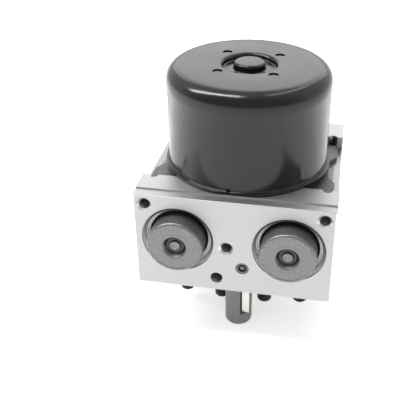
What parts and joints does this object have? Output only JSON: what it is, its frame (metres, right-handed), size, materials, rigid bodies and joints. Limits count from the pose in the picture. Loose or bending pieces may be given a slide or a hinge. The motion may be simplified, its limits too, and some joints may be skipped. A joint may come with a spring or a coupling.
{
  "type": "anti-lock brake hydraulic unit",
  "caption": "Anti-lock brake hydraulic unit: machined valve block under a round black pump motor, accumulator cups in the front, valve domes and a contact post underneath.",
  "frame": {"origin": "where the motor's axis meets the underside of the valve block, the face that the controller bolts to", "axes": "+Z along the motor's axis, from the block up to the top of the can; -Y out of the accumulator face; +X to the right along that face"},
  "size_m": [0.1212, 0.1248, 0.1678],
  "materials": {
    "block_aluminium": "satin, finely machined",
    "piston_aluminium": "anodised",
    "can_black": "gloss black",
    "shield_casting": "matte dark casting",
    "dark_steel": "phosphated",
    "bright_steel": "ground",
    "plug_steel": "satin",
    "cup_steel": "satin, deep drawn",
    "dome_steel": "oxidised nearly black",
    "grey_plastic": "moulded, slight sheen",
    "tinned_copper": "tinned",
    "copper": "enamelled",
    "bronze": "sintered",
    "ferrite": "fired, matte",
    "carbon": "pressed carbon",
    "seal_rubber": "matte"
  },
  "bodies": {
    "unit": {"valve_block": "block_aluminium", "closing_plugs": "plug_steel", "motor_can": "can_black", "end_shield": "shield_casting", "shield_seal": "seal_rubber", "motor_screws": "dark_steel", "field_magnets": "ferrite", "rear_bush": "bronze", "front_bearing_outer": "bright_steel", "brush_holder": "grey_plastic", "brushes": "carbon", "brush_springs": "bright_steel", "connector_post": "grey_plastic", "contact_blades": "tinned_copper", "pump_sleeves": "dark_steel", "sleeve_seals": "seal_rubber", "pump_plugs": "plug_steel", "outlet_springs": "bright_steel", "snap_rings": "dark_steel", "pump_spring_left": "bright_steel", "pump_spring_right": "bright_steel", "accumulator_cup_left": "cup_steel", "accumulator_cup_right": "cup_steel", "accumulator_spring_left": "bright_steel", "accumulator_spring_right": "bright_steel", "inlet_valve_bodies": "plug_steel", "inlet_valve_domes": "dome_steel", "inlet_valve_springs": "bright_steel", "outlet_valve_bodies": "plug_steel", "outlet_valve_domes": "dome_steel", "outlet_valve_springs": "bright_steel"},
    "armature": {"armature_shaft": "bright_steel", "front_bearing_inner": "bright_steel", "lamination_stack": "dark_steel", "windings": "copper", "commutator": "copper", "eccentric": "bright_steel", "eccentric_needles": "bright_steel", "pump_ring": "bright_steel"},
    "left_pump_piston": {"pump_piston_left": "bright_steel"},
    "right_pump_piston": {"pump_piston_right": "bright_steel"},
    "left_outlet_ball": {"outlet_ball_left": "bright_steel"},
    "right_outlet_ball": {"outlet_ball_right": "bright_steel"},
    "left_accumulator_piston": {"accumulator_piston_left": "piston_aluminium", "accumulator_seal_left": "seal_rubber"},
    "right_accumulator_piston": {"accumulator_piston_right": "piston_aluminium", "accumulator_seal_right": "seal_rubber"},
    "inlet_front_left": {"inlet_plunger_front_left": "dark_steel"},
    "inlet_front_right": {"inlet_plunger_front_right": "dark_steel"},
    "inlet_back_left": {"inlet_plunger_back_left": "dark_steel"},
    "inlet_back_right": {"inlet_plunger_back_right": "dark_steel"},
    "outlet_front_left": {"outlet_plunger_front_left": "dark_steel"},
    "outlet_front_right": {"outlet_plunger_front_right": "dark_steel"},
    "outlet_back_left": {"outlet_plunger_back_left": "dark_steel"},
    "outlet_back_right": {"outlet_plunger_back_right": "dark_steel"}
  },
  "joints": [
    {"name": "armature_spin", "type": "hinge", "parent": "unit", "child": "armature", "pos_m": [0, 0, 0.09], "axis": [0, 0, 1], "continuous": true},
    {"name": "left_pump_stroke", "type": "slide", "parent": "unit", "child": "left_pump_piston", "axis": [-1, 0, 0], "range_m": [0, 0.0016], "stiffness_N_per_m": 3000, "springref_m": -0.003, "deforming": ["pump_spring_left"]},
    {"name": "right_pump_stroke", "type": "slide", "parent": "unit", "child": "right_pump_piston", "axis": [1, 0, 0], "range_m": [0, 0.0016], "stiffness_N_per_m": 3000, "springref_m": -0.003, "deforming": ["pump_spring_right"]},
    {"name": "left_outlet_lift", "type": "slide", "parent": "unit", "child": "left_outlet_ball", "axis": [-1, 0, 0], "range_m": [0, 0.0008], "stiffness_N_per_m": 500, "springref_m": -0.002},
    {"name": "right_outlet_lift", "type": "slide", "parent": "unit", "child": "right_outlet_ball", "axis": [1, 0, 0], "range_m": [0, 0.0008], "stiffness_N_per_m": 500, "springref_m": -0.002},
    {"name": "left_accumulator_fill", "type": "slide", "parent": "unit", "child": "left_accumulator_piston", "axis": [0, -1, 0], "range_m": [0, 0.008], "stiffness_N_per_m": 5000, "springref_m": -0.012, "deforming": ["accumulator_spring_left"]},
    {"name": "right_accumulator_fill", "type": "slide", "parent": "unit", "child": "right_accumulator_piston", "axis": [0, -1, 0], "range_m": [0, 0.008], "stiffness_N_per_m": 5000, "springref_m": -0.012, "deforming": ["accumulator_spring_right"]},
    {"name": "inlet_front_left_close", "type": "slide", "parent": "unit", "child": "inlet_front_left", "axis": [0, 0, 1], "range_m": [0, 0.0004], "stiffness_N_per_m": 1500, "springref_m": -0.002},
    {"name": "inlet_front_right_close", "type": "slide", "parent": "unit", "child": "inlet_front_right", "axis": [0, 0, 1], "range_m": [0, 0.0004], "stiffness_N_per_m": 1500, "springref_m": -0.002},
    {"name": "inlet_back_left_close", "type": "slide", "parent": "unit", "child": "inlet_back_left", "axis": [0, 0, 1], "range_m": [0, 0.0004], "stiffness_N_per_m": 1500, "springref_m": -0.002},
    {"name": "inlet_back_right_close", "type": "slide", "parent": "unit", "child": "inlet_back_right", "axis": [0, 0, 1], "range_m": [0, 0.0004], "stiffness_N_per_m": 1500, "springref_m": -0.002},
    {"name": "outlet_front_left_open", "type": "slide", "parent": "unit", "child": "outlet_front_left", "axis": [0, 0, -1], "range_m": [0, 0.0004], "stiffness_N_per_m": 1500, "springref_m": -0.002},
    {"name": "outlet_front_right_open", "type": "slide", "parent": "unit", "child": "outlet_front_right", "axis": [0, 0, -1], "range_m": [0, 0.0004], "stiffness_N_per_m": 1500, "springref_m": -0.002},
    {"name": "outlet_back_left_open", "type": "slide", "parent": "unit", "child": "outlet_back_left", "axis": [0, 0, -1], "range_m": [0, 0.0004], "stiffness_N_per_m": 1500, "springref_m": -0.002},
    {"name": "outlet_back_right_open", "type": "slide", "parent": "unit", "child": "outlet_back_right", "axis": [0, 0, -1], "range_m": [0, 0.0004], "stiffness_N_per_m": 1500, "springref_m": -0.002}
  ]
}
